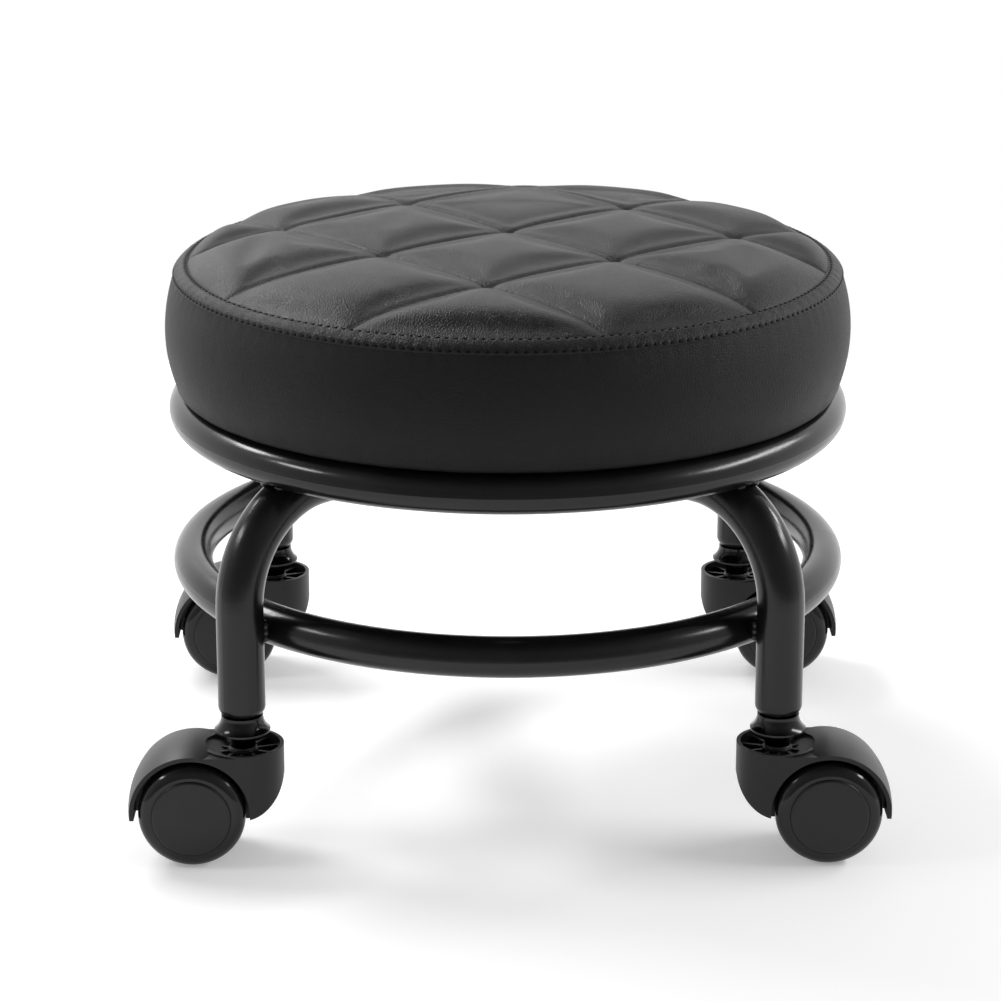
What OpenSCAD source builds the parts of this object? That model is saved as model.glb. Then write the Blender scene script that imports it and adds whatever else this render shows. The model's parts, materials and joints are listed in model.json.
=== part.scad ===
// Low rolling stool for pedicure work, in millimetres, +Z up.
// The origin is on the floor, under the middle of the seat. The user's side is -Y.
// Four tube legs carry an upper ring under the cushion and a lower foot ring.
// Each leg stands on a hooded twin-wheel caster that swivels about its stem.

/* [Frame] */
// Diameter of both rings, to the middle of their tube
ring_d = 311; // [305:1:320]
// Outer diameter of the ring tube
ring_tube_d = 19; // [18:0.5:20]
// Outer diameter of the leg tube
leg_tube_d = 22; // [21:0.5:23]
// Wall of the ring and leg tubes
tube_wall = 1.5; // [1.2:0.1:1.8]
// Height of the upper ring, to the middle of its tube
upper_ring_z = 185; // [180:1:200]
// Height of the lower ring, to the middle of its tube
lower_ring_z = 107.5; // [100:0.5:112]
// Radius of the bend that turns a leg in under the seat, to the middle of the tube
leg_bend_r = 50; // [46:1:52]
// Height of the lower end of a leg
leg_end_z = 68.5; // [68:0.5:70]

/* [Seat] */
// Largest diameter of the cushion
seat_d = 332; // [328:1:338]
// Height of the cushion, from its board's underside to its crown
seat_h = 69; // [64:1:74]
// Thickness of the plywood board
board_t = 12; // [10:1:15]
// Diameter of the plywood board
board_d = 314; // [306:1:316]
// Distance of each seat screw from the middle of the seat
screw_r = 134; // [128:1:138]

/* [Casters] */
// Diameter of a wheel
wheel_d = 50; // [48:1:52]
// Width of one wheel of the pair
wheel_w = 14.8; // [13:0.2:15.4]
// Distance from the swivel axis to the wheels' axis
trail = 23.2; // [22:0.1:24]
// Outer diameter of the hood's round boss
boss_d = 38.2; // [37:0.2:40]
// Height of the boss's rim
boss_rim_z = 54.2; // [54:0.1:56]
// Diameter of the steel pin that the hood turns on
pivot_d = 8; // [7:0.5:8]
// Diameter of the wheels' axle
axle_d = 5; // [4:0.5:5]

/* [Hidden] */
ring_r = ring_d / 2;
ring_tube_r = ring_tube_d / 2;
leg_tube_r = leg_tube_d / 2;
seat_r = seat_d / 2;
board_r = board_d / 2;
wheel_r = wheel_d / 2;
boss_r = boss_d / 2;
pivot_r = pivot_d / 2;
axle_r = axle_d / 2;

// Gap that the weld metal fills between two tubes
weld_gap = 0.1;
// Running clearance of a pin in its bore, on the radius
run_gap = 0.05;

// Legs: the rings touch the inner side of each leg
leg_radial = ring_r + ring_tube_r + leg_tube_r + weld_gap;
leg_xy = leg_radial / sqrt(2);
bend_radial = leg_radial - leg_bend_r;
bend_reach = leg_bend_r + leg_tube_r + ring_tube_r + weld_gap;
bend_drop = sqrt(pow(bend_reach, 2) - pow(ring_r - bend_radial, 2));
bend_z = floor(10 * (upper_ring_z - bend_drop)) / 10;
run_z = bend_z + leg_bend_r;
// The last part of a leg is spun in to a rounded end with a hole for the caster's stud
spun_r = 4.5;
leg_straight_z = leg_end_z + spun_r;
insert_h = 17;
stud_r = 5;
stud_hole_r = leg_tube_r - spun_r;

// Four tabs under the seat board are welded to the inside of the upper ring
tab_t = 3;
tab_w = 34;
tab_top_z = upper_ring_z + ring_tube_r + 0.3;
tab_bottom_z = tab_top_z - tab_t;
tab_in_r = screw_r - 13;
tab_out_r = ring_r - sqrt(pow(ring_tube_r, 2) - pow(tab_bottom_z - upper_ring_z, 2)) - 0.2;
weld_r = 2.4;
bead_side = 4.8;
bead_step = 3;
vent_r = 1.5;

// Seat: the layers lie on each other from the tabs upward
dust_cover_t = 0.5;
leather_t = 1;
hem_z = tab_top_z + dust_cover_t;
board_z = hem_z + leather_t;
board_top_z = board_z + board_t;
seat_top_z = tab_top_z + seat_h + 1.2;
// The side of the cushion is one arc that bulges out to the full diameter
side_arc_r = 74;
side_mid_z = board_z + 27.7;
seam_z = side_mid_z + 27;
// The top is flat in the middle and rolls over to the seam on one arc
roll_r = 55;
roll_start_r = seat_r - 41.8;
panel_t = 4;
hem_in_r = board_r - 17;
dust_cover_r = hem_in_r + 7;
staple_ring_r = hem_in_r + 3.5;
staple_w = 10;
staple_t = 0.6;
staple_leg_h = 8;
STAPLE_ANGLES = [for (quarter = [0:90:270]) for (a = [15:12:75]) quarter + a];
screw_size_r = 3;
screw_hole_r = 3.3;
nut_flange_r = 9.5;
nut_flange_t = 1.2;
nut_barrel_r = 3.9;
screw_tip_z = board_top_z - 2;
washer_t = 1.2;
washer_r = 7;
screw_head_r = 6;
screw_head_h = 4;
screw_socket_r = 2.3;
screw_socket_h = 2.2;

// Casters, about the swivel axis with the trailing side at +X
web_half = 6.5;
keel_half = 6;
keel_drop = 4;
wheel_in = web_half + 0.7;
wheel_out = wheel_in + wheel_w;
wheel_z = wheel_r;
hood_half = boss_r;
hood_crown_r = wheel_r + 5.5;
hood_edge_drop = 1.5;
hood_arc_r = (pow(hood_half, 2) + pow(hood_edge_drop, 2)) / (2 * hood_edge_drop);
arch_r = wheel_r + 2;
arch_wall = 2.2;
boss_foot_z = wheel_r - 2.5;
boss_heel_r = boss_r - 0.4;
boss_wall = 1.8;
slab_top_z = boss_rim_z - 0.8;
claw_z = wheel_r - 2.3;
hub_r = 7;
hub_top_z = boss_rim_z - 2.4;
rib_count = 10;
rib_t = 1.4;
rib_top_z = boss_rim_z - 3;
pivot_low_z = wheel_r + 3.5;
clip_z = pivot_low_z + 6;
clip_t = 1.2;
clip_groove_r = pivot_r - 0.8;
thrust_washer_t = 1;
shoulder_z = hub_top_z + 0.3 + thrust_washer_t;
shoulder_r = 6;
collar_z = leg_end_z - 7.9;
collar_base_r = 13;
collar_top_r = 9.7;
collar_lip = 0.9;

// Wheels: a nylon wheel, open on the inside, with a round cover let into its outer face
shoulder_out_r = 6;
shoulder_in_r = 1.5;
rim_in_r = wheel_r - 4;
cap_r = 18.4;
cap_gap = 0.15;
cap_seat = 2.4;
cap_dome_r = 400;
cap_proud = 0.9;
cap_edge_r = 1.2;
web_t = 1.6;
wheel_hub_r = 6.5;
head_r = 3.4;
head_h = 1.2;

CORNERS = ["fl", "fr", "rl", "rr"];
CORNER_SIGNS = [[-1, -1], [1, -1], [-1, 1], [1, 1]];
SIDES = ["front", "back"];
SIDE_SIGNS = [-1, 1];

SEAT_NODES = ["seat_top_panel", "seat_side_band", "seat_foam", "seat_board", "tee_nuts",
    "dust_cover", "staples", "seat_screws", "seat_washers"];
FRAME_NODES = ["upper_ring", "lower_ring", "leg_bow", "half_bow_right", "half_bow_left",
    "seat_tabs", "weld_beads", "leg_inserts"];
CASTER_PARTS = ["stem", "thrust_washer", "clip", "hood", "axle"];

$fn = 96;

// ---------------------------------------------------------------- seat

// Half section of the cushion's barrel-shaped side, shrunk inward by t, between two heights
module side_2d(t, low, high) {
    intersection() {
        union() {
            translate([seat_r - side_arc_r, side_mid_z]) circle(r = side_arc_r - t, $fn = 180);
            translate([0, low]) square([seat_r - side_arc_r, high - low]);
        }
        translate([0, low]) square([seat_r, high - low]);
    }
}

// Half section of the cushion above the seam, shrunk inward by t: flat, then rolled over
module crown_2d(t) {
    intersection() {
        union() {
            translate([roll_start_r, seat_top_z - roll_r]) circle(r = roll_r - t, $fn = 180);
            translate([0, seam_z - 1]) square([roll_start_r, seat_top_z - t - seam_z + 1]);
        }
        translate([0, seam_z]) square([seat_r, seat_h]);
    }
}

module seat_top_panel() {
    color("dimgray") rotate_extrude($fn = 180) difference() {
        crown_2d(0);
        crown_2d(panel_t);
    }
}

module seat_side_band() {
    color([0.13, 0.13, 0.13]) rotate_extrude($fn = 180) difference() {
        side_2d(0, hem_z, seam_z);
        side_2d(leather_t, board_z, seam_z + 1);
        translate([0, hem_z - 1]) square([hem_in_r, board_t]);
    }
}

module seat_foam() {
    color("khaki") difference() {
        rotate_extrude($fn = 180) difference() {
            union() {
                side_2d(leather_t, board_z, seam_z);
                crown_2d(panel_t);
            }
            translate([0, board_z - 1]) square([board_r, board_t + 1]);
        }
        at_screws() translate([0, 0, board_top_z - 1])
            cylinder(r = nut_flange_r + 0.5, h = nut_flange_t + 1.4);
    }
}

module seat_board() {
    color("burlywood") difference() {
        translate([0, 0, board_z]) cylinder(r = board_r, h = board_t, $fn = 180);
        at_screws() translate([0, 0, board_z - 1]) cylinder(r = nut_barrel_r + 0.1, h = board_t + 2);
    }
}

module dust_cover() {
    color([0.2, 0.2, 0.2]) difference() {
        translate([0, 0, tab_top_z]) cylinder(r = dust_cover_r, h = dust_cover_t, $fn = 180);
        at_screws() translate([0, 0, tab_top_z - 1]) cylinder(r = screw_hole_r, h = 3);
    }
}

module at_screws() {
    for (a = [0:90:270]) rotate(a) translate([screw_r, 0, 0]) children();
}

// Tee nuts: a flange on top of the board and a barrel down into it
module tee_nuts() {
    color("silver") at_screws() difference() {
        union() {
            translate([0, 0, board_top_z]) cylinder(r = nut_flange_r, h = nut_flange_t);
            translate([0, 0, board_z + 3]) cylinder(r = nut_barrel_r, h = board_t - 3 + 0.5);
        }
        translate([0, 0, board_z]) cylinder(r = screw_size_r + run_gap, h = board_t + 5);
    }
}

module seat_screws() {
    color("silver") at_screws() difference() {
        union() {
            translate([0, 0, tab_bottom_z - washer_t - screw_head_h])
                cylinder(r = screw_head_r, h = screw_head_h);
            translate([0, 0, tab_bottom_z - washer_t - 1])
                cylinder(r = screw_size_r, h = screw_tip_z - tab_bottom_z + washer_t + 1);
        }
        translate([0, 0, tab_bottom_z - washer_t - screw_head_h - 1])
            cylinder(r = screw_socket_r, h = screw_socket_h + 1, $fn = 6);
    }
}

module seat_washers() {
    color("silver") at_screws() difference() {
        translate([0, 0, tab_bottom_z - washer_t]) cylinder(r = washer_r, h = washer_t);
        translate([0, 0, tab_bottom_z - washer_t - 1]) cylinder(r = screw_size_r + 0.2, h = washer_t + 2);
    }
}

// Staples hold the cover's hem and the dust cover to the board, between the tabs
module staples() {
    color("silver") for (a = STAPLE_ANGLES) rotate(a) translate([staple_ring_r - 0.5, 0, 0]) {
        translate([0, -staple_w / 2, tab_top_z - staple_t]) cube([1, staple_w, staple_t]);
        for (y = [-staple_w / 2, staple_w / 2 - staple_t])
            translate([0, y, tab_top_z - staple_t / 2]) cube([1, staple_t, staple_leg_h]);
    }
}

// ---------------------------------------------------------------- frame

module tube_2d(r) {
    difference() {
        circle(r = r);
        circle(r = r - tube_wall);
    }
}

module ring(z) {
    difference() {
        translate([0, 0, z]) rotate_extrude($fn = 180) translate([ring_r, 0]) tube_2d(ring_tube_r);
        translate([0, ring_r, z - ring_tube_r - 1]) cylinder(r = vent_r, h = ring_tube_r, $fn = 32);
    }
}

module upper_ring() {
    color([0.12, 0.12, 0.12]) ring(upper_ring_z);
}

module lower_ring() {
    color([0.12, 0.12, 0.12]) ring(lower_ring_z);
}

// One leg in the XZ plane: the spun-in end, the straight part and the bend in towards the middle
module leg() {
    translate([leg_radial, 0, 0]) rotate_extrude() leg_wall_2d();
    translate([bend_radial, 0, bend_z]) rotate([90, 0, 0]) rotate_extrude(angle = 90)
        translate([leg_bend_r, 0]) tube_2d(leg_tube_r);
}

// Wall of the straight part, about the leg's own axis, with its lower end rolled in
module leg_wall_2d() {
    translate([leg_tube_r - tube_wall, leg_straight_z]) square([tube_wall, bend_z - leg_straight_z]);
    intersection() {
        translate([stud_hole_r, leg_straight_z]) difference() {
            circle(r = spun_r);
            circle(r = spun_r - tube_wall);
        }
        translate([stud_hole_r, leg_end_z]) square([leg_tube_r, spun_r]);
    }
}

// Horizontal tube under the seat, from the bend to a given distance past the middle
module leg_run(from_x, to_x) {
    translate([from_x, 0, run_z]) rotate([0, 90, 0]) linear_extrude(to_x - from_x) tube_2d(leg_tube_r);
}

// The whole bow is one tube bent into two legs, from the front left to the rear right
module leg_bow() {
    color([0.12, 0.12, 0.12]) rotate(45) {
        leg();
        rotate(180) leg();
        leg_run(-bend_radial, bend_radial);
    }
}

// A half bow ends in a saddle cut against the whole bow
module half_bow() {
    difference() {
        union() {
            leg();
            leg_run(0, bend_radial);
        }
        translate([0, 0, run_z]) rotate([90, 0, 0])
            cylinder(r = leg_tube_r + weld_gap, h = 4 * leg_tube_r, center = true);
        translate([-leg_tube_d, -leg_tube_d, run_z - leg_tube_d])
            cube([leg_tube_d, 2 * leg_tube_d, 2 * leg_tube_d]);
    }
}

module half_bow_right() {
    color([0.12, 0.12, 0.12]) rotate(-45) half_bow();
}

module half_bow_left() {
    color([0.12, 0.12, 0.12]) rotate(135) half_bow();
}

// Threaded inserts inside the lower ends of the legs
module leg_inserts() {
    color("silver") for (s = CORNER_SIGNS)
        translate([s[0] * leg_xy, s[1] * leg_xy, leg_straight_z]) difference() {
            cylinder(r = leg_tube_r - tube_wall - run_gap, h = insert_h);
            translate([0, 0, -1]) cylinder(r = stud_r + run_gap, h = insert_h + 2);
        }
}

module seat_tabs() {
    color([0.12, 0.12, 0.12]) for (a = [0:90:270]) rotate(a) difference() {
        intersection() {
            translate([tab_in_r, -tab_w / 2, tab_bottom_z]) cube([ring_r - tab_in_r, tab_w, tab_t]);
            translate([0, 0, tab_bottom_z]) cylinder(r = tab_out_r, h = tab_t, $fn = 180);
        }
        translate([screw_r, 0, tab_bottom_z - 1]) cylinder(r = screw_hole_r, h = tab_t + 2);
    }
}

module bead(x, y, z) {
    translate([x, y, z]) sphere(r = weld_r, $fn = 32);
}

// Weld metal on both sides of each place where two tubes touch, and under each tab
module weld_beads() {
    lean = asin((ring_r - bend_radial) / bend_reach);
    touch_x = ring_r - ring_tube_r * sin(lean);
    touch_z = upper_ring_z - ring_tube_r * cos(lean);
    color([0.15, 0.15, 0.15]) {
        for (a = [45:90:315]) rotate(a) for (side = [-bead_side, bead_side])
            for (step = [-bead_step, 0, bead_step]) {
                bead(leg_radial - leg_tube_r, side, lower_ring_z + step);
                bead(touch_x - step * cos(lean), side, touch_z + step * sin(lean));
            }
        for (a = [0:90:270]) rotate(a) for (y = [-12:bead_step:12])
            bead(tab_out_r - 1.6, y, tab_bottom_z - weld_r + 1.1);
        for (a = [-45, 135]) rotate(a) for (side = [-1, 1]) for (turn = [-30:15:30])
            bead(leg_tube_r * cos(turn) + 0.6, side * leg_tube_r * cos(turn), run_z + leg_tube_r * sin(turn));
    }
}

// ---------------------------------------------------------------- casters

// Moves a caster to its leg, with the trailing side pointing out along X
module at_corner(i) {
    translate([CORNER_SIGNS[i][0] * leg_xy, CORNER_SIGNS[i][1] * leg_xy, 0])
        mirror([min(CORNER_SIGNS[i][0], 0), 0, 0]) children();
}

// Turns a solid about Z into one about the wheels' axis
module about_axle() {
    translate([trail, 0, wheel_z]) rotate([90, 0, 0]) children();
}

// Stem: pivot pin with a clip groove, shoulder, flared collar and the stud in the leg
module caster_stem() {
    color([0.25, 0.25, 0.25]) {
        rotate_extrude() difference() {
            union() {
                translate([0, pivot_low_z]) square([pivot_r, shoulder_z - pivot_low_z]);
                translate([0, shoulder_z]) square([shoulder_r, collar_z - shoulder_z]);
                collar_2d();
                translate([0, leg_end_z - 1]) square([stud_r, insert_h]);
            }
            translate([clip_groove_r, clip_z]) square([pivot_r, clip_t + 0.2]);
        }
    }
}

// The collar flares down and out on a hollow curve to a thin rim
module collar_2d() {
    flare_h = leg_end_z - collar_z - collar_lip - 0.1;
    flare_w = collar_base_r - collar_top_r;
    flare_r = (pow(flare_h, 2) + pow(flare_w, 2)) / (2 * flare_w);
    difference() {
        translate([0, collar_z]) square([collar_base_r, leg_end_z - 0.1 - collar_z]);
        intersection() {
            translate([collar_top_r + flare_r, leg_end_z - 0.1]) circle(r = flare_r);
            translate([0, collar_z + collar_lip]) square([2 * collar_base_r, flare_h + 1]);
        }
    }
}

module caster_thrust_washer() {
    color("silver") translate([0, 0, shoulder_z - thrust_washer_t]) difference() {
        cylinder(r = shoulder_r, h = thrust_washer_t);
        translate([0, 0, -1]) cylinder(r = pivot_r + run_gap, h = thrust_washer_t + 2);
    }
}

// Spring clip in the pin's groove, open on one side
module caster_clip() {
    color("silver") translate([0, 0, clip_z + 0.1]) difference() {
        cylinder(r = pivot_r + 0.5, h = clip_t);
        translate([0, 0, -1]) cylinder(r = clip_groove_r + run_gap, h = clip_t + 2);
        translate([0, -1, -1]) cube([2 * pivot_r, 2, clip_t + 2]);
    }
}

// Side outline of the boss, shrunk inward by t: its heel is rounded
module boss_side_2d(t) {
    heel = boss_heel_r;
    union() {
        translate([-boss_r + heel, boss_foot_z + heel]) circle(r = heel - t);
        translate([-boss_r + t, boss_foot_z + heel]) square([2 * boss_r, boss_rim_z]);
        translate([-boss_r + heel, boss_foot_z + t]) square([2 * boss_r, boss_rim_z]);
    }
}

module boss_side(t) {
    rotate([90, 0, 0]) linear_extrude(4 * boss_r, center = true) boss_side_2d(t);
}

// Keel between the wheels, a little below the hood's open sides
module hood_keel() {
    low = boss_foot_z - keel_drop;
    translate([trail - arch_r - 1, -keel_half, low]) cube([2 * arch_r, 2 * keel_half, keel_drop + 1]);
}

// Outside of the hood: round boss, flat sides and a crowned fender over the wheels
module hood_outside() {
    hood_keel();
    intersection() {
        union() {
            translate([0, 0, boss_foot_z]) cylinder(r = boss_r, h = boss_rim_z - boss_foot_z);
            translate([0, -hood_half, boss_foot_z]) cube([trail, 2 * hood_half, slab_top_z - boss_foot_z]);
            intersection() {
                about_axle() rotate_extrude($fn = 128) intersection() {
                    translate([0, -hood_half]) square([hood_crown_r + 1, 2 * hood_half]);
                    translate([hood_crown_r - hood_arc_r, 0]) circle(r = hood_arc_r, $fn = 180);
                }
                translate([0, -2 * hood_half, claw_z]) cube([4 * boss_r, 4 * hood_half, boss_d]);
            }
        }
        union() {
            boss_side(0);
            translate([0, -hood_half, claw_z]) cube([4 * boss_r, 2 * hood_half, boss_d]);
        }
    }
}

// Round pocket inside the boss, between its wall, the hub, the ribs and the wheel arch
module boss_pocket() {
    difference() {
        intersection() {
            translate([0, 0, boss_foot_z + boss_wall]) cylinder(r = boss_r - boss_wall, h = boss_rim_z);
            boss_side(boss_wall);
        }
        translate([0, 0, boss_foot_z]) cylinder(r = hub_r, h = hub_top_z - boss_foot_z);
        for (i = [0:rib_count - 1]) rotate((i + 0.5) * 360 / rib_count)
            translate([0, -rib_t / 2, boss_foot_z]) cube([boss_r, rib_t, rib_top_z - boss_foot_z]);
        about_axle() cylinder(r = arch_r + arch_wall, h = 4 * hood_half, center = true);
    }
}

module caster_hood() {
    color([0.2, 0.2, 0.2]) difference() {
        hood_outside();
        boss_pocket();
        for (side = SIDE_SIGNS) about_axle() translate([0, 0, side * (web_half + hood_half)])
            cylinder(r = arch_r, h = 2 * hood_half, center = true);
        about_axle() cylinder(r = axle_r, h = 4 * web_half, center = true);
        translate([0, 0, pivot_low_z - 1]) cylinder(r = pivot_r + run_gap, h = boss_d);
        translate([0, 0, clip_z - 0.4]) cylinder(r = pivot_r + 1, h = clip_t + 1);
    }
}

// Axle pressed through the hood's web, with a low head outside each wheel
module caster_axle() {
    color("silver") about_axle() {
        reach = wheel_out - cap_seat - web_t;
        cylinder(r = axle_r, h = 2 * (reach + web_t + 0.5), center = true);
        for (side = SIDE_SIGNS) translate([0, 0, side * (reach + web_t + 0.3 + head_h / 2)])
            cylinder(r = head_r, h = head_h, center = true);
    }
}

// Half section of a wheel, from the axle outward, with its outer face at the top
module wheel_2d() {
    inner = shoulder_in_r;
    outer = shoulder_out_r;
    difference() {
        union() {
            square([wheel_r - outer, wheel_w]);
            translate([0, inner]) square([wheel_r, wheel_w - inner - outer]);
            square([wheel_r - inner, wheel_w - outer]);
            translate([wheel_r - outer, wheel_w - outer]) circle(r = outer);
            translate([wheel_r - inner, inner]) circle(r = inner);
        }
        translate([wheel_hub_r, -1]) square([rim_in_r - wheel_hub_r, wheel_w - cap_seat - web_t + 1]);
        translate([0, wheel_w - cap_seat]) square([cap_r + cap_gap, wheel_w]);
        translate([0, -1]) square([axle_r + run_gap, 2 * wheel_w]);
    }
}

// The cover has a softly domed face and a pocket for the axle's head
module cap_2d() {
    edge = cap_edge_r;
    rim_h = cap_seat + cap_proud;
    difference() {
        intersection() {
            union() {
                square([cap_r - edge, rim_h + 1]);
                square([cap_r, rim_h - edge]);
                translate([cap_r - edge, rim_h - edge]) circle(r = edge);
            }
            translate([0, rim_h + 0.4 - cap_dome_r]) circle(r = cap_dome_r, $fn = 360);
        }
        translate([0, -1]) square([head_r + 0.8, head_h + 0.7 + 1]);
    }
}

// Puts a half section on the given side of the caster, with its foot at a distance from the middle
module on_side(side, foot) {
    translate([trail, side * foot, wheel_z]) rotate([-90 * side, 0, 0]) rotate_extrude($fn = 128) children();
}

module caster_wheel(side) {
    color([0.16, 0.16, 0.16]) on_side(side, wheel_in) wheel_2d();
}

module caster_cap(side) {
    color([0.22, 0.22, 0.22]) on_side(side, wheel_out - cap_seat) cap_2d();
}

// ---------------------------------------------------------------- drawing

seat_top_panel();
seat_side_band();
seat_foam();
seat_board();
tee_nuts();
dust_cover();
staples();
seat_screws();
seat_washers();
upper_ring();
lower_ring();
leg_bow();
half_bow_right();
half_bow_left();
seat_tabs();
weld_beads();
leg_inserts();
for (i = [0:3]) {
    caster = str("caster_", CORNERS[i], "_");
    at_corner(i) caster_stem();
    at_corner(i) caster_thrust_washer();
    at_corner(i) caster_clip();
    at_corner(i) caster_hood();
    at_corner(i) caster_axle();
    for (k = [0:1]) {
        side = SIDE_SIGNS[k];
        at_corner(i) caster_wheel(side);
        at_corner(i) caster_cap(side);
    }
}
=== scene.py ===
"""Looks of a low rolling pedicure stool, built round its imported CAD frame. Metres, +Z up."""
import json
import math

import bmesh
import bpy
import numpy as np
from mathutils import Euler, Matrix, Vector, noise


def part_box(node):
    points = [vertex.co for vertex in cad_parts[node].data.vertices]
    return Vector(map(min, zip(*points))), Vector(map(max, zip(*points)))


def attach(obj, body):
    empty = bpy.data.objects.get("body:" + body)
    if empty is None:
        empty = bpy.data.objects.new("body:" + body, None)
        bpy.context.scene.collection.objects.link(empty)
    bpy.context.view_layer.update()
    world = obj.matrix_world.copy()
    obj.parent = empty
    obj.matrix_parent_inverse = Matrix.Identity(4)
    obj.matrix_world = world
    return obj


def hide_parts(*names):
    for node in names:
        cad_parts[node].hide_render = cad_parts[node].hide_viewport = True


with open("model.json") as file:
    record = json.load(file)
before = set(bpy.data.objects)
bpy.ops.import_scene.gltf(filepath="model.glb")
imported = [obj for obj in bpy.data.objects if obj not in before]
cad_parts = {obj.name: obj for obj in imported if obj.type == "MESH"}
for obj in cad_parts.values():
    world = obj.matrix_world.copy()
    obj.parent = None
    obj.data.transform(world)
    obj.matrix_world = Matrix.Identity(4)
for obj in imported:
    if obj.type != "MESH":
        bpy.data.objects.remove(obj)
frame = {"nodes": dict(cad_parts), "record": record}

MM = 0.001
TURN = 2 * math.pi
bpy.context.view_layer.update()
scene = bpy.context.scene
scene.view_settings.view_transform = "Standard"

# ---------------------------------------------------------------- sizes from the frame

TOP_LOW, TOP_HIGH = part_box("seat_top_panel")
BAND_LOW, BAND_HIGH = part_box("seat_side_band")
BOARD_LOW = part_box("seat_board")[0]

SEAT_R = BAND_HIGH.x                # largest radius of the cushion
SEAM_Z = TOP_LOW.z                  # where the top panel meets the side band
CROWN_Z = TOP_HIGH.z                # flat top of the plain CAD cushion
HEM_Z = BAND_LOW.z                  # underside of the cover
SIDE_ARC_R = 74 * MM                # the side bulges on one arc
SIDE_MID_Z = BOARD_LOW.z + 27.7 * MM
ROLL_R = 55 * MM                    # the top rolls over to the seam on one arc
ROLL_START_R = SEAT_R - 41.8 * MM

# ---------------------------------------------------------------- camera

CAMERA_DISTANCE = 1.562
CAMERA_HEIGHT = 0.626
CAMERA_PITCH = math.radians(17.53)
CAMERA_AZIMUTH = math.radians(-0.6)
CAMERA_PAN = math.radians(0.13)
CAMERA_LENS = 119.1


def make_camera():
    data = bpy.data.cameras.new("camera")
    data.lens = CAMERA_LENS
    data.sensor_width = 36
    cam = bpy.data.objects.new("camera", data)
    cam.location = (CAMERA_DISTANCE * math.sin(CAMERA_AZIMUTH),
                    -CAMERA_DISTANCE * math.cos(CAMERA_AZIMUTH), CAMERA_HEIGHT)
    cam.rotation_euler = Euler((math.pi / 2 - CAMERA_PITCH, 0, CAMERA_AZIMUTH + CAMERA_PAN))
    scene.collection.objects.link(cam)
    scene.camera = cam


# ---------------------------------------------------------------- node helpers


class Shader:
    """A material's node tree, with short ways to add and join nodes."""

    def __init__(self, name):
        self.material = bpy.data.materials.new(name)
        self.material.use_nodes = True
        self.nodes = self.material.node_tree.nodes
        self.links = self.material.node_tree.links
        self.bsdf = self.nodes["Principled BSDF"]
        self.coords = self.nodes.new("ShaderNodeTexCoord").outputs["Object"]

    def set(self, **values):
        for key, value in values.items():
            self.bsdf.inputs[key.replace("_", " ")].default_value = value

    def join(self, output, node, socket):
        self.links.new(output, node.inputs[socket])

    def noise(self, scale, detail=3.0, roughness=0.5, coords=None):
        n = self.nodes.new("ShaderNodeTexNoise")
        n.inputs["Scale"].default_value = scale
        n.inputs["Detail"].default_value = detail
        n.inputs["Roughness"].default_value = roughness
        self.join(coords or self.coords, n, "Vector")
        return n.outputs["Fac"]

    def voronoi(self, scale, feature="F1", coords=None):
        n = self.nodes.new("ShaderNodeTexVoronoi")
        n.feature = feature
        n.inputs["Scale"].default_value = scale
        self.join(coords or self.coords, n, "Vector")
        return n.outputs["Distance"]

    def warped(self, scale, amount):
        """Object coordinates pushed about by a noise, so that a pattern isn't regular."""
        n = self.nodes.new("ShaderNodeTexNoise")
        n.inputs["Scale"].default_value = scale
        self.join(self.coords, n, "Vector")
        m = self.nodes.new("ShaderNodeVectorMath")
        m.operation = "MULTIPLY_ADD"
        self.join(n.outputs["Color"], m, 0)
        m.inputs[1].default_value = (amount, amount, amount)
        self.join(self.coords, m, 2)
        return m.outputs[0]

    def stretched(self, factors):
        m = self.nodes.new("ShaderNodeVectorMath")
        m.operation = "MULTIPLY"
        self.join(self.coords, m, 0)
        m.inputs[1].default_value = factors
        return m.outputs[0]

    def ramp(self, fac, low, high, from_low=0.0, from_high=1.0):
        n = self.nodes.new("ShaderNodeMapRange")
        n.inputs["From Min"].default_value = from_low
        n.inputs["From Max"].default_value = from_high
        n.inputs["To Min"].default_value = low
        n.inputs["To Max"].default_value = high
        self.join(fac, n, "Value")
        return n.outputs["Result"]

    def colours(self, fac, stops):
        """A colour ramp of (position, grey or colour) stops."""
        n = self.nodes.new("ShaderNodeValToRGB")
        points = n.color_ramp.elements
        while len(points) < len(stops):
            points.new(0.5)
        for point, (place, colour) in zip(points, stops):
            point.position = place
            point.color = (*colour, 1)
        self.join(fac, n, "Fac")
        return n.outputs["Color"]

    def bump(self, height, distance, strength=1.0, under=None):
        n = self.nodes.new("ShaderNodeBump")
        n.inputs["Distance"].default_value = distance
        n.inputs["Strength"].default_value = strength
        self.join(height, n, "Height")
        if under is not None:
            self.join(under, n, "Normal")
        return n.outputs["Normal"]

    def finish(self, colour=None, roughness=None, normal=None):
        if colour is not None:
            self.join(colour, self.bsdf, "Base Color")
        if roughness is not None:
            self.join(roughness, self.bsdf, "Roughness")
        if normal is not None:
            self.join(normal, self.bsdf, "Normal")
        return self.material


def grey(v, warm=0.0):
    return (v * (1 + warm), v, v * (1 - warm))


# ---------------------------------------------------------------- materials


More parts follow.
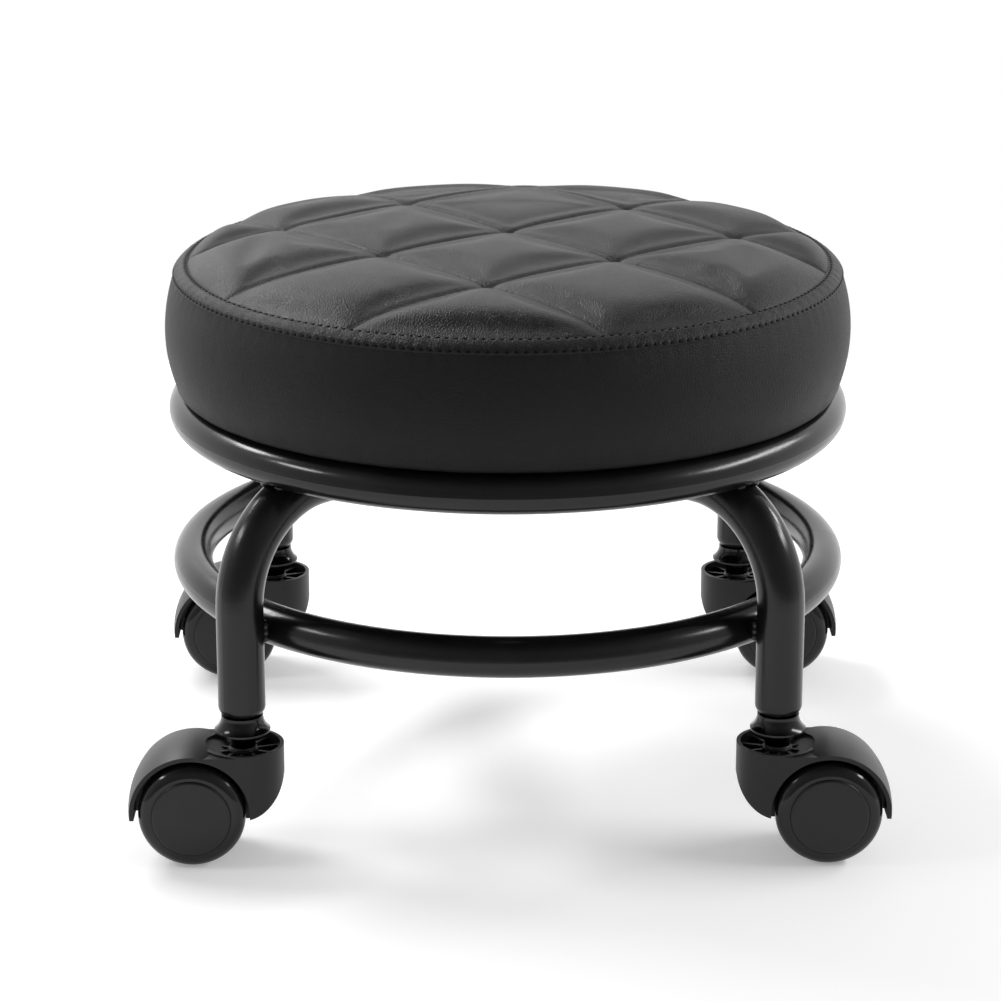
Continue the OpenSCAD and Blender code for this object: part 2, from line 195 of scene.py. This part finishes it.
def leather(name, specular, tone_low, rough_low):
    """Soft black PU leather: pebbled grain, fine pores, slow changes in sheen."""
    s = Shader(name)
    s.set(Specular_IOR_Level=specular)
    warped = s.warped(90, 0.003)
    cells = s.voronoi(820, "DISTANCE_TO_EDGE", warped)
    pebble = s.ramp(cells, 0, 1, 0.0, 0.22)
    pores = s.noise(2600, 2)
    creases = s.noise(160, 4, 0.6, s.warped(30, 0.01))
    low = s.bump(creases, 0.0004, 0.25)
    mid = s.bump(pebble, 0.00014, 0.8, low)
    normal = s.bump(pores, 0.00004, 0.4, mid)
    tone = s.noise(14, 3)
    colour = s.colours(tone, [(0.3, grey(tone_low)), (0.7, grey(tone_low + 0.003))])
    roughness = s.ramp(s.noise(40, 4), rough_low, rough_low + 0.1)
    return s.finish(colour, roughness, normal)


def thread():
    s = Shader("thread")
    s.set(Specular_IOR_Level=0.12)
    twist = s.noise(4000, 2, 0.6)
    colour = s.colours(twist, [(0.3, grey(0.001)), (0.8, grey(0.005))])
    return s.finish(colour, s.ramp(twist, 0.5, 0.8), s.bump(twist, 0.0001, 0.6))


def powder_coat():
    """Gloss black powder coat with a slight orange peel and rubbed places."""
    s = Shader("powder_coat")
    s.set(Specular_IOR_Level=0.38)
    peel = s.noise(420, 2, 0.4)
    wear = s.noise(35, 5, 0.65)
    colour = s.colours(wear, [(0.35, grey(0.004)), (0.72, grey(0.007))])
    roughness = s.ramp(wear, 0.16, 0.28, 0.3, 0.75)
    return s.finish(colour, roughness, s.bump(peel, 0.00006, 0.35))


def black_chrome():
    s = Shader("black_chrome")
    s.set(Metallic=1.0)
    marks = s.noise(900, 4, 0.6, s.stretched((1, 1, 6)))
    colour = s.colours(marks, [(0.3, grey(0.025)), (0.8, grey(0.05))])
    return s.finish(colour, s.ramp(marks, 0.1, 0.22), s.bump(marks, 0.00002, 0.3))


def moulded(name, low, high, rough_low, rough_high, grain, facets=False):
    """Black moulded plastic: fine spark-eroded grain and slight flow marks.

    facets takes each face's own normal, for a shape whose middle is a pole."""
    s = Shader(name)
    s.set(Specular_IOR_Level=0.35)
    under = s.nodes.new("ShaderNodeNewGeometry").outputs["True Normal"] if facets else None
    flow = s.noise(50, 3, 0.5, s.warped(20, 0.02))
    texture = s.noise(2400, 3, 0.7)
    colour = s.colours(flow, [(0.3, grey(low)), (0.75, grey(high))])
    return s.finish(colour, s.ramp(flow, rough_low, rough_high), s.bump(texture, 0.00005, grain, under))


def zinc_steel():
    s = Shader("zinc_steel")
    s.set(Metallic=1.0)
    flakes = s.voronoi(700)
    stain = s.noise(220, 5, 0.7)
    colour = s.colours(stain, [(0.3, (0.42, 0.43, 0.45)), (0.7, (0.62, 0.62, 0.6))])
    return s.finish(colour, s.ramp(stain, 0.22, 0.45), s.bump(flakes, 0.00003, 0.3))


def plywood():
    s = Shader("plywood")
    ring = s.noise(9, 4, 0.5, s.stretched((1, 14, 30)))
    fibre = s.noise(60, 4, 0.6, s.stretched((1, 18, 18)))
    colour = s.colours(ring, [(0.3, (0.36, 0.22, 0.11)), (0.7, (0.62, 0.44, 0.26))])
    return s.finish(colour, s.ramp(fibre, 0.5, 0.75), s.bump(fibre, 0.0002, 0.5))


def foam():
    s = Shader("foam")
    cells = s.voronoi(1300)
    colour = s.colours(cells, [(0.1, (0.55, 0.47, 0.27)), (0.6, (0.78, 0.71, 0.5))])
    return s.finish(colour, s.ramp(cells, 0.8, 0.95), s.bump(cells, 0.0004, 0.8))


def dust_cloth():
    """Spun-bonded cloth: pressed fibres in every direction under a grid of small welds."""
    s = Shader("dust_cloth")
    s.set(Specular_IOR_Level=0.2)
    fibres = s.noise(1500, 5, 0.75, s.warped(300, 0.004))
    welds = s.ramp(s.voronoi(520), 0, 1, 0.15, 0.5)
    colour = s.colours(fibres, [(0.3, grey(0.008)), (0.7, grey(0.03))])
    normal = s.bump(welds, 0.0002, 0.6, s.bump(fibres, 0.0002, 0.7))
    return s.finish(colour, s.ramp(fibres, 0.75, 0.95), normal)


MATERIALS = {
    "leather": leather("leather", 0.33, 0.007, 0.42),
    "foam": foam(),
    "plywood": plywood(),
    "dust_cloth": dust_cloth(),
    "zinc_steel": zinc_steel(),
    "powder_coat": powder_coat(),
    "black_chrome": black_chrome(),
    "hood_plastic": moulded("hood_plastic", 0.008, 0.012, 0.36, 0.46, 0.35),
    "wheel_nylon": moulded("wheel_nylon", 0.007, 0.010, 0.1, 0.17, 0.1),
    "cap_plastic": moulded("cap_plastic", 0.009, 0.013, 0.3, 0.4, 0.25, facets=True),
}
THREAD = thread()
# A copy of the top's leather with weaker specular, a slightly lighter tone and more roughness: painted
# shade on the side band, which is the same leather as the top.
SHADED_SIDE_LEATHER = leather("shaded_side_leather", 0.18, 0.010, 0.48)
# A copy of the top's leather with weaker specular, a slightly lighter tone and more roughness: painted
# shade on the seam strip, which is the same leather as the top.
SHADED_SEAM_LEATHER = leather("shaded_seam_leather", 0.24, 0.009, 0.44)


def finish_cad_nodes():
    for part in frame["record"]["subparts"]:
        mesh = frame["nodes"][part["node"]].data
        mesh.materials.clear()
        mesh.materials.append(MATERIALS[part["material_slot"]])


# ---------------------------------------------------------------- mesh helpers


def add_mesh(name, vertices, faces, material, smooth=True):
    mesh = bpy.data.meshes.new(name)
    mesh.from_pydata([tuple(v) for v in vertices], [], faces)
    mesh.validate()
    mesh.materials.append(material)
    if smooth:
        mesh.polygons.foreach_set("use_smooth", [True] * len(mesh.polygons))
    mesh.update()
    obj = bpy.data.objects.new(name, mesh)
    scene.collection.objects.link(obj)
    return obj


def face_outward(obj):
    bm = bmesh.new()
    bm.from_mesh(obj.data)
    bmesh.ops.recalc_face_normals(bm, faces=bm.faces)
    bm.to_mesh(obj.data)
    bm.free()


def wobble(angle, cycles, seed):
    """Smooth noise round a circle, from -1 to 1, that meets itself after a full turn."""
    return noise.noise(Vector((math.cos(angle) * cycles, math.sin(angle) * cycles, seed)))


def ring_solid(name, section, steps, material, shift):
    """Turns a closed section of (radius, height) points round Z.

    shift(i, angle) gives what point i moves by there, as (dr, dz)."""
    count = len(section)
    vertices = []
    for k in range(steps):
        angle = TURN * k / steps
        for i, (r, z) in enumerate(section):
            dr, dz = shift(i, angle)
            vertices.append(((r + dr) * math.cos(angle), (r + dr) * math.sin(angle), z + dz))
    faces = []
    for k in range(steps):
        here, there = k * count, (k + 1) % steps * count
        for i in range(count):
            j = (i + 1) % count
            faces.append((here + i, here + j, there + j, there + i))
    obj = add_mesh(name, vertices, faces, material)
    face_outward(obj)
    return obj


# ---------------------------------------------------------------- seat: shared shape


def side_radius(z):
    return SEAT_R - SIDE_ARC_R + math.sqrt(SIDE_ARC_R ** 2 - (z - SIDE_MID_Z) ** 2)


def roll_height(r):
    return CROWN_Z - ROLL_R + math.sqrt(ROLL_R ** 2 - max(0.0, r - ROLL_START_R) ** 2)


SEAM_R = side_radius(SEAM_Z)
WELT_IN_R = SEAM_R - 5.6 * MM       # inner row of stitches
WELT_IN_Z = roll_height(WELT_IN_R)
STITCHES = 240

# ---------------------------------------------------------------- seat: quilted top

QUILT_PITCH = 78.5 * MM
QUILT_TURN = math.radians(39.7)
QUILT_CENTRE = Vector((-5 * MM, -30 * MM))
QUILT_CELLS = 30                    # mesh cells across one quilted square
PILLOW_H = 5.8 * MM
PLUMP_POWER, VALLEY_POWER = 3.4, 7  # how fast a square, and the whole top, rises from its edge
VALLEY_RISE = CROWN_Z - 1.8 * MM - WELT_IN_Z
NEAR_ROLL, FAR_ROLL = 24 * MM, 10 * MM      # width of the roll-off at the near and far edge
FAR_FROM, FAR_TO = 40 * MM, 115 * MM        # the squares flatten between these depths
FLAT_RISE, FLAT_SHARE = 0.55, 0.6
TOP_BASE_Z = SEAM_Z - 2 * MM


def to_quilt(x, y):
    """Distances along the two directions of the quilting, in pitches, from the middle of a square."""
    dx, dy = x - QUILT_CENTRE.x, y - QUILT_CENTRE.y
    c, s = math.cos(QUILT_TURN), math.sin(QUILT_TURN)
    return (dx * c + dy * s) / QUILT_PITCH, (-dx * s + dy * c) / QUILT_PITCH


def from_quilt(u, v):
    c, s = math.cos(QUILT_TURN), math.sin(QUILT_TURN)
    x, y = u * QUILT_PITCH, v * QUILT_PITCH
    return QUILT_CENTRE.x + x * c - y * s, QUILT_CENTRE.y + x * s + y * c


def seam_share(t):
    """0 on a quilting seam, 1 in the middle of a square.

    The squares at the near edge have no outer seam."""
    t = max(t, -1.0)
    return 1 - 2 * abs(t - round(t))


def plump(share):
    return 1 - (1 - share) ** PLUMP_POWER


def valley_height(r):
    return WELT_IN_Z + VALLEY_RISE * (1 - (r / WELT_IN_R) ** VALLEY_POWER)


def pillow_start(x, y):
    r = math.hypot(x, y)
    u, v = to_quilt(x, y)
    edge_roll = NEAR_ROLL + (FAR_ROLL - NEAR_ROLL) * (0.5 + 0.5 * y / max(r, MM))
    inward = min(1.0, max(0.0, (WELT_IN_R - r) / edge_roll))
    roll = 1 - (1 - inward) ** 2
    rise = plump(seam_share(u)) * plump(seam_share(v))
    far = min(1.0, max(0.0, (y - FAR_FROM) / (FAR_TO - FAR_FROM)))
    rise += (FLAT_RISE - rise) * FLAT_SHARE * far
    return valley_height(r) + PILLOW_H * rise * roll


def quilt_grid():
    """Vertices and faces of the top, on a grid whose lines follow the seams, trimmed to the round edge."""
    reach = int(math.ceil(WELT_IN_R / QUILT_PITCH * QUILT_CELLS)) + 2
    index, points = {}, []
    for i in range(-reach, reach + 1):
        for j in range(-reach, reach + 1):
            x, y = from_quilt(i / QUILT_CELLS, j / QUILT_CELLS)
            if math.hypot(x, y) < WELT_IN_R - 0.7 * QUILT_PITCH / QUILT_CELLS:
                index[i, j] = len(points)
                points.append((x, y))
    faces = []
    for (i, j), a in index.items():
        corner = [index.get(p) for p in ((i + 1, j), (i + 1, j + 1), (i, j + 1))]
        if None not in corner:
            faces.append((a, *corner))
    return points, faces


def trimmed_top():
    points, faces = quilt_grid()
    bm = bmesh.new()
    made = [bm.verts.new((x, y, 0)) for x, y in points]
    for f in faces:
        bm.faces.new([made[i] for i in f])
    loose = [v for v in bm.verts if not v.link_faces]
    bmesh.ops.delete(bm, geom=loose, context="VERTS")
    rim = [e for e in bm.edges if e.is_boundary]
    out = bmesh.ops.extrude_edge_only(bm, edges=rim)["geom"]
    for v in out:
        if isinstance(v, bmesh.types.BMVert):
            scale = WELT_IN_R / math.hypot(v.co.x, v.co.y)
            v.co.x *= scale
            v.co.y *= scale
    bmesh.ops.recalc_face_normals(bm, faces=bm.faces)
    for v in bm.verts:
        v.co.z = pillow_start(v.co.x, v.co.y)
    mesh = bpy.data.meshes.new("quilted_top")
    bm.normal_update()
    if sum(f.normal.z for f in bm.faces) < 0:
        bmesh.ops.reverse_faces(bm, faces=bm.faces)
    bm.to_mesh(mesh)
    bm.free()
    obj = bpy.data.objects.new("quilted_top", mesh)
    scene.collection.objects.link(obj)
    return obj


CLOTH_FRAMES = 20
CLOTH_CAP = 2.5 * MM


def held_by_stitches(co):
    u, v = to_quilt(co.x, co.y)
    on_seam = min(seam_share(u), seam_share(v)) < 0.5 / QUILT_CELLS
    return on_seam or math.hypot(co.x, co.y) > WELT_IN_R - 0.2 * MM


def inflate(obj):
    """Swells the panel between its seams, as foam does under a stretched cover."""
    start = np.array([v.co for v in obj.data.vertices])
    group = obj.vertex_groups.new(name="stitched")
    group.add([v.index for v in obj.data.vertices if held_by_stitches(v.co)], 1.0, "REPLACE")
    cloth = obj.modifiers.new("cloth", "CLOTH")
    cloth.point_cache.frame_start = 1
    cloth.point_cache.frame_end = CLOTH_FRAMES
    s = cloth.settings
    s.vertex_group_mass = "stitched"
    s.pin_stiffness = 1
    s.use_pressure = True
    s.uniform_pressure_force = 3
    s.effector_weights.gravity = 0
    s.quality = 6
    s.mass = 0.3
    s.tension_stiffness = 30
    s.compression_stiffness = 30
    s.shear_stiffness = 12
    s.bending_stiffness = 15
    s.shrink_min = 0.004
    s.shrink_max = 0.004
    cloth.collision_settings.use_collision = False
    for f in range(1, CLOTH_FRAMES + 1):
        scene.frame_set(f)
    evaluated = obj.evaluated_get(bpy.context.evaluated_depsgraph_get())
    moved = np.zeros(len(obj.data.vertices) * 3)
    evaluated.to_mesh().vertices.foreach_get("co", moved)
    evaluated.to_mesh_clear()
    step = moved.reshape(-1, 3) - start
    length = np.linalg.norm(step, axis=1, keepdims=True)
    step *= np.minimum(1, CLOTH_CAP / np.maximum(length, 1e-9))
    print("cloth moved at most", round(float(length.max()) * 1000, 2), "mm")
    obj.modifiers.remove(cloth)
    obj.vertex_groups.remove(group)
    obj.data.vertices.foreach_set("co", (start + step).ravel())
    scene.frame_set(1)


def subdivide(obj, levels):
    mod = obj.modifiers.new("subdivision", "SUBSURF")
    mod.levels = levels
    mod.render_levels = levels
    apply_modifiers(obj)


def apply_modifiers(obj):
    evaluated = obj.evaluated_get(bpy.context.evaluated_depsgraph_get())
    mesh = bpy.data.meshes.new_from_object(evaluated)
    obj.modifiers.clear()
    obj.data = mesh


PUCKER_PITCH = 3.4 * MM
# Depth and half width of the groove along a seam, where two seams cross, and at the round edge
SEAM_GROOVE = (0.9 * MM, 1.3 * MM)
CROSSING_DIP = (1.4 * MM, 5 * MM)
RIM_GROOVE = (0.5 * MM, 1.2 * MM)


def groove(depth_width, distance):
    depth, width = depth_width
    return depth * math.exp(-(distance / width) ** 2)


def press_seams(obj):
    """Draws the leather down into each seam and gathers it in fine puckers beside it."""
    for vertex in obj.data.vertices:
        co = vertex.co
        r = math.hypot(co.x, co.y)
        u, v = to_quilt(co.x, co.y)
        near = [seam_share(t) * QUILT_PITCH / 2 for t in (u, v)]
        crossing = math.hypot(*near)
        for distance, along in ((near[0], v), (near[1], u)):
            place = along * QUILT_PITCH
            gather = noise.noise(Vector((place / PUCKER_PITCH * 1.9, distance / (9 * MM), u + v)))
            close = math.exp(-crossing / (12 * MM))
            co.z -= groove(SEAM_GROOVE, distance)
            co.z += (0.14 + 0.4 * close) * MM * gather * math.exp(-distance / (5 * MM))
        co.z -= groove(CROSSING_DIP, crossing)
        co.z -= groove(RIM_GROOVE, WELT_IN_R - r)
        co.z += 0.15 * MM * noise.noise(co * 45)


def close_below(obj):
    """Turns the panel into a closed solid with a flat underside inside the cushion."""
    bm = bmesh.new()
    bm.from_mesh(obj.data)
    rim = [e for e in bm.edges if e.is_boundary]
    out = bmesh.ops.extrude_edge_only(bm, edges=rim)["geom"]
    low = [v for v in out if isinstance(v, bmesh.types.BMVert)]
    for v in low:
        v.co.z = TOP_BASE_Z
    bmesh.ops.contextual_create(bm, geom=[e for e in out if isinstance(e, bmesh.types.BMEdge)])
    bmesh.ops.recalc_face_normals(bm, faces=bm.faces)
    bm.to_mesh(obj.data)
    bm.free()


def make_quilted_top():
    top = trimmed_top()
    inflate(top)
    subdivide(top, 1)
    press_seams(top)
    close_below(top)
    top.data.materials.append(MATERIALS["leather"])
    top.data.polygons.foreach_set("use_smooth", [True] * len(top.data.polygons))
    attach(top, "root")
    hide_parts("seat_top_panel", "seat_foam")


# ---------------------------------------------------------------- seat: felled seam and its stitches

WELT_PROUD = 1.1 * MM


def welt_line(t):
    """Point on the cushion between the two rows of stitches, t from 0 at the inner to 1 at the outer."""
    r = WELT_IN_R + (SEAM_R - WELT_IN_R) * t
    z = WELT_IN_Z + (SEAM_Z - WELT_IN_Z) * t
    bow = 0.5 * MM * math.sin(math.pi * t)
    return r + bow * 0.6, z + bow * 0.8


WELT_NORMAL = Vector((WELT_IN_Z - SEAM_Z, SEAM_R - WELT_IN_R)).normalized()
WELT_STEPS = 16
WELT_LAP = 0.12                     # the strip runs on past both rows, as a share of its width
SEWN_WIDTH, PULLED_WIDTH = 0.07, 0.13
UNSEWN = 9.0                        # a place across the strip far from both rows
STITCH_SHARE = 0.66                 # length of a stitch, as a share of its pitch
STITCH_SINK = 0.42                  # height of a stitch, as a share of the strip's


def make_welt():
    section, lift, place = [], [], []
    for i in range(WELT_STEPS + 1):
        t = -WELT_LAP + (1 + 2 * WELT_LAP) * i / WELT_STEPS
        place.append(t)
        r, z = welt_line(t)
        sewn = groove((1, SEWN_WIDTH), t) + groove((1, SEWN_WIDTH), t - 1)
        edge = 1 if 0 < i < WELT_STEPS else 0
        proud = WELT_PROUD * edge * (1 - 0.55 * sewn)
        section.append((r + WELT_NORMAL.x * proud, z + WELT_NORMAL.y * proud))
        lift.append(math.sin(math.pi * min(1, max(0, t))) * edge)
    for t in (1 + WELT_LAP, -WELT_LAP):
        r, z = welt_line(t)
        section.append((r - WELT_NORMAL.x * 2 * MM, z - WELT_NORMAL.y * 2 * MM))
        lift.append(0)
        place.append(UNSEWN)

    def gathers(i, angle):
        fold = math.sin(angle * STITCHES / 2 + 3 * wobble(angle, 11, 5.3) + 0.5 * i / WELT_STEPS)
        step = lift[i] * 0.1 * MM * fold * (0.7 + 0.5 * wobble(angle, 17, 8.8))
        for t, phase in ((0.0, 0.0), (1.0, math.pi)):
            between = -math.cos(angle * STITCHES - phase)
            step += between * groove((0.24 * MM, PULLED_WIDTH), place[i] - t)
        return WELT_NORMAL.x * step, WELT_NORMAL.y * step

    # The strip is made of the shaded copy of the leather: painted shade.
    welt = ring_solid("seat_seam", section, STITCHES * 8, SHADED_SEAM_LEATHER, gathers)
    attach(welt, "root")


def stitch(centre, along, up, length, radius):
    """One sunk stitch: a short thread that dips into the leather at both ends."""
    sides, rings = 8, 9
    across = along.cross(up)
    vertices = []
    for k in range(rings):
        t = k / (rings - 1)
        swell = max(0.25, math.sin(math.pi * (0.06 + 0.88 * t)) ** 0.5)
        middle = centre + along * length * (t - 0.5) - up * radius * 1.6 * (2 * t - 1) ** 4
        for j in range(sides):
            a = TURN * j / sides
            vertices.append(middle + (across * math.cos(a) + up * math.sin(a)) * radius * swell)
    faces = []
    for k in range(rings - 1):
        here, there = k * sides, (k + 1) * sides
        for j in range(sides):
            after = (j + 1) % sides
            faces.append((here + j, here + after, there + after, there + j))
    faces.append(tuple(reversed(range(sides))))
    faces.append(tuple(range((rings - 1) * sides, rings * sides)))
    return vertices, faces


def join_solids(name, solids, material):
    vertices, faces = [], []
    for v, f in solids:
        faces += [tuple(i + len(vertices) for i in face) for face in f]
        vertices += v
    obj = add_mesh(name, vertices, faces, material)
    face_outward(obj)
    return obj


THREAD_R = 0.62 * MM


def make_stitches():
    solids = []
    for row, t in enumerate((0.0, 1.0)):
        r, z = welt_line(t)
        for k in range(STITCHES):
            angle = TURN * (k + 0.5 * row) / STITCHES
            out = Vector((math.cos(angle), math.sin(angle), 0))
            along = Vector((-math.sin(angle), math.cos(angle), 0))
            up = (out * WELT_NORMAL.x + Vector((0, 0, WELT_NORMAL.y))).normalized()
            centre = out * r + Vector((0, 0, z)) + up * WELT_PROUD * STITCH_SINK
            length = TURN * r / STITCHES * STITCH_SHARE
            solids.append(stitch(centre, along, up, length, THREAD_R))
    stitches = join_solids("seam_stitches", solids, THREAD)
    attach(stitches, "root")


# ---------------------------------------------------------------- seat: side band

BAND_STEPS = 26
CORNER_R = 3.5 * MM
COVER_T = 1.2 * MM
HEM_IN_R = 147 * MM


def make_side_band():
    outer = []
    top_z, low_z = SEAM_Z + 1.2 * MM, HEM_Z + CORNER_R
    for i in range(BAND_STEPS + 1):
        z = top_z + (low_z - top_z) * i / BAND_STEPS
        outer.append((side_radius(z), z))
    corner_r = side_radius(low_z) - CORNER_R
    for i in range(1, 7):
        a = math.pi / 2 * i / 6
        outer.append((corner_r + CORNER_R * math.cos(a), low_z - CORNER_R * math.sin(a)))
    outer.append((HEM_IN_R, HEM_Z))
    inner = [(HEM_IN_R, HEM_Z + COVER_T), (corner_r, HEM_Z + COVER_T)]
    for i in range(BAND_STEPS, -1, -1):
        z = top_z + (low_z - top_z) * i / BAND_STEPS
        inner.append((side_radius(z) - COVER_T, z))
    section = outer + inner
    shown = len(outer) - 1

    def ripples(i, angle):
        if i == 0 or i >= shown:
            return 0, 0
        r, z = section[i]
        below = SEAM_Z - z
        fold = math.sin(angle * STITCHES / 2 + 3 * wobble(angle, 13, 2.2))
        pull = math.exp(-abs(below) / (5 * MM)) * fold
        slack = noise.noise(Vector((r * math.cos(angle), r * math.sin(angle), z * 1.6)) * 18)
        low = math.exp(-(z - HEM_Z) / (7 * MM)) * wobble(angle, 16, 6.1)
        return 0.1 * MM * pull + 0.45 * MM * slack + 0.45 * MM * low, 0

    # The band is made of the shaded copy of the leather: painted shade.
    band = ring_solid("side_band", section, STITCHES * 4, SHADED_SIDE_LEATHER, ripples)
    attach(band, "root")
    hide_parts("seat_side_band")


# ---------------------------------------------------------------- seat: dust cover

TAB_IN_R = 112 * MM                 # inner end of the four tabs under the board
TAB_HALF_W = 17 * MM
SHEET_SAG = 2.2 * MM
CUT_WANDER = 0.6 * MM               # the round cut isn't exact
SHEET_RINGS, SHEET_STEPS = 56, 360


def sheet_hang(r, angle, free_r):
    """How far the dust cover hangs below the board: held by the staples, the ring and the tabs."""
    turned = (angle + math.pi / 4) % (math.pi / 2) - math.pi / 4
    x, y = r * math.cos(turned), abs(r * math.sin(turned))
    from_tab = math.hypot(max(0.0, TAB_IN_R - x), max(0.0, y - TAB_HALF_W))
    loose = min(1.0, from_tab / (22 * MM)) ** 2
    spare = max(0.0, 1 - (r / free_r) ** 2)
    place = Vector((r * math.cos(angle), r * math.sin(angle), 0))
    folds = noise.noise(place * 22) + 0.5 * noise.noise(place * 60)
    rays = wobble(angle, 9, 4.2) * (r / free_r) ** 2
    return SHEET_SAG * loose * (spare + 0.35 * min(1.0, 4 * spare) * (0.5 + folds + rays))


def make_dust_sheet():
    low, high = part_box("dust_cover")
    ring_low, ring_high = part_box("upper_ring")
    free_r = ring_high.x - (ring_high.z - ring_low.z)
    thick = high.z - low.z
    vertices, faces = [], []
    for side in (0, 1):
        vertices.append((0, 0, low.z + side * thick - sheet_hang(0, 0, free_r)))
        for i in range(1, SHEET_RINGS + 1):
            for k in range(SHEET_STEPS):
                angle = TURN * k / SHEET_STEPS
                r = high.x * i / SHEET_RINGS
                if i == SHEET_RINGS:
                    r -= CUT_WANDER * abs(wobble(angle, 5, 2.6))
                vertices.append((r * math.cos(angle), r * math.sin(angle),
                                 low.z + side * thick - sheet_hang(r, angle, free_r)))
    half = 1 + SHEET_RINGS * SHEET_STEPS

    def at(side, i, k):
        return side * half + (1 + (i - 1) * SHEET_STEPS + k % SHEET_STEPS if i else 0)

    for k in range(SHEET_STEPS):
        for side in (0, 1):
            faces.append((at(side, 0, 0), at(side, 1, k), at(side, 1, k + 1)))
            for i in range(1, SHEET_RINGS):
                faces.append((at(side, i, k), at(side, i + 1, k),
                              at(side, i + 1, k + 1), at(side, i, k + 1)))
        rim = SHEET_RINGS
        faces.append((at(0, rim, k), at(0, rim, k + 1), at(1, rim, k + 1), at(1, rim, k)))
    cover = add_mesh("dust_sheet", vertices, faces, MATERIALS["dust_cloth"])
    face_outward(cover)
    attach(cover, "root")
    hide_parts("dust_cover")


# ---------------------------------------------------------------- studio


FLOOR_R, FLOOR_SIDES = 0.8, 96
FLOOR_GAP = 0.2 * MM


def make_floor():
    turns = [TURN * k / FLOOR_SIDES for k in range(FLOOR_SIDES)]
    rim = [(FLOOR_R * math.cos(a), FLOOR_R * math.sin(a), 0) for a in turns]
    floor = add_mesh("floor", rim, [tuple(range(FLOOR_SIDES))], floor_material(), smooth=False)
    floor.location.z = -FLOOR_GAP


def floor_material():
    s = Shader("floor")
    s.set(Specular_IOR_Level=0.1, Emission_Color=(1, 1, 1, 1), Emission_Strength=0.26)
    dust = s.noise(3, 3)
    return s.finish(s.colours(dust, [(0.3, grey(0.93)), (0.7, grey(0.95))]), s.ramp(dust, 0.7, 0.8))


def softbox(name, place, size, power, target=(0, 0, 0.15)):
    light = bpy.data.lights.new(name, "AREA")
    light.shape = "RECTANGLE"
    light.size, light.size_y = size
    light.energy = power
    obj = bpy.data.objects.new(name, light)
    obj.location = place
    obj.rotation_euler = (Vector(place) - Vector(target)).to_track_quat("Z", "Y").to_euler()
    scene.collection.objects.link(obj)


def make_world():
    """White to the eye. The light it sheds is strongest low at the back and dim overhead."""
    world = bpy.data.worlds.new("studio")
    scene.world = world
    world.use_nodes = True
    nodes, links = world.node_tree.nodes, world.node_tree.links
    split = nodes.new("ShaderNodeSeparateXYZ")
    links.new(nodes.new("ShaderNodeTexCoord").outputs["Generated"], split.inputs[0])

    def graded(axis, start, end, low, high):
        node = nodes.new("ShaderNodeMapRange")
        links.new(split.outputs[axis], node.inputs["Value"])
        for name, value in (("From Min", start), ("From Max", end), ("To Min", low), ("To Max", high)):
            node.inputs[name].default_value = value
        return node.outputs["Result"]

    shade = nodes.new("ShaderNodeMath")
    shade.operation = "MULTIPLY"
    links.new(graded("Y", -0.9, 0.9, 0.25, 1.35), shade.inputs[0])
    links.new(graded("Z", 0.45, 0.95, 1.0, 0.08), shade.inputs[1])
    pick = nodes.new("ShaderNodeMix")
    links.new(nodes.new("ShaderNodeLightPath").outputs["Is Camera Ray"], pick.inputs["Factor"])
    links.new(shade.outputs[0], pick.inputs["A"])
    pick.inputs["B"].default_value = 1.0
    links.new(pick.outputs["Result"], nodes["Background"].inputs["Strength"])
    nodes["Background"].inputs["Color"].default_value = (1, 1, 1, 1)


def make_lights():
    softbox("left_box", (-1.1, 0.97, 1.44), (1.2, 0.3), 24)
    softbox("left_low_box", (-1.5, -0.3, 1.17), (0.5, 0.18), 5)
    softbox("right_box", (1.5, 0.1, 1.05), (1.3, 0.24), 16)


# ---------------------------------------------------------------- making

make_camera()
finish_cad_nodes()
make_quilted_top()
make_welt()
make_stitches()
make_side_band()
make_dust_sheet()
make_floor()
make_world()
make_lights()
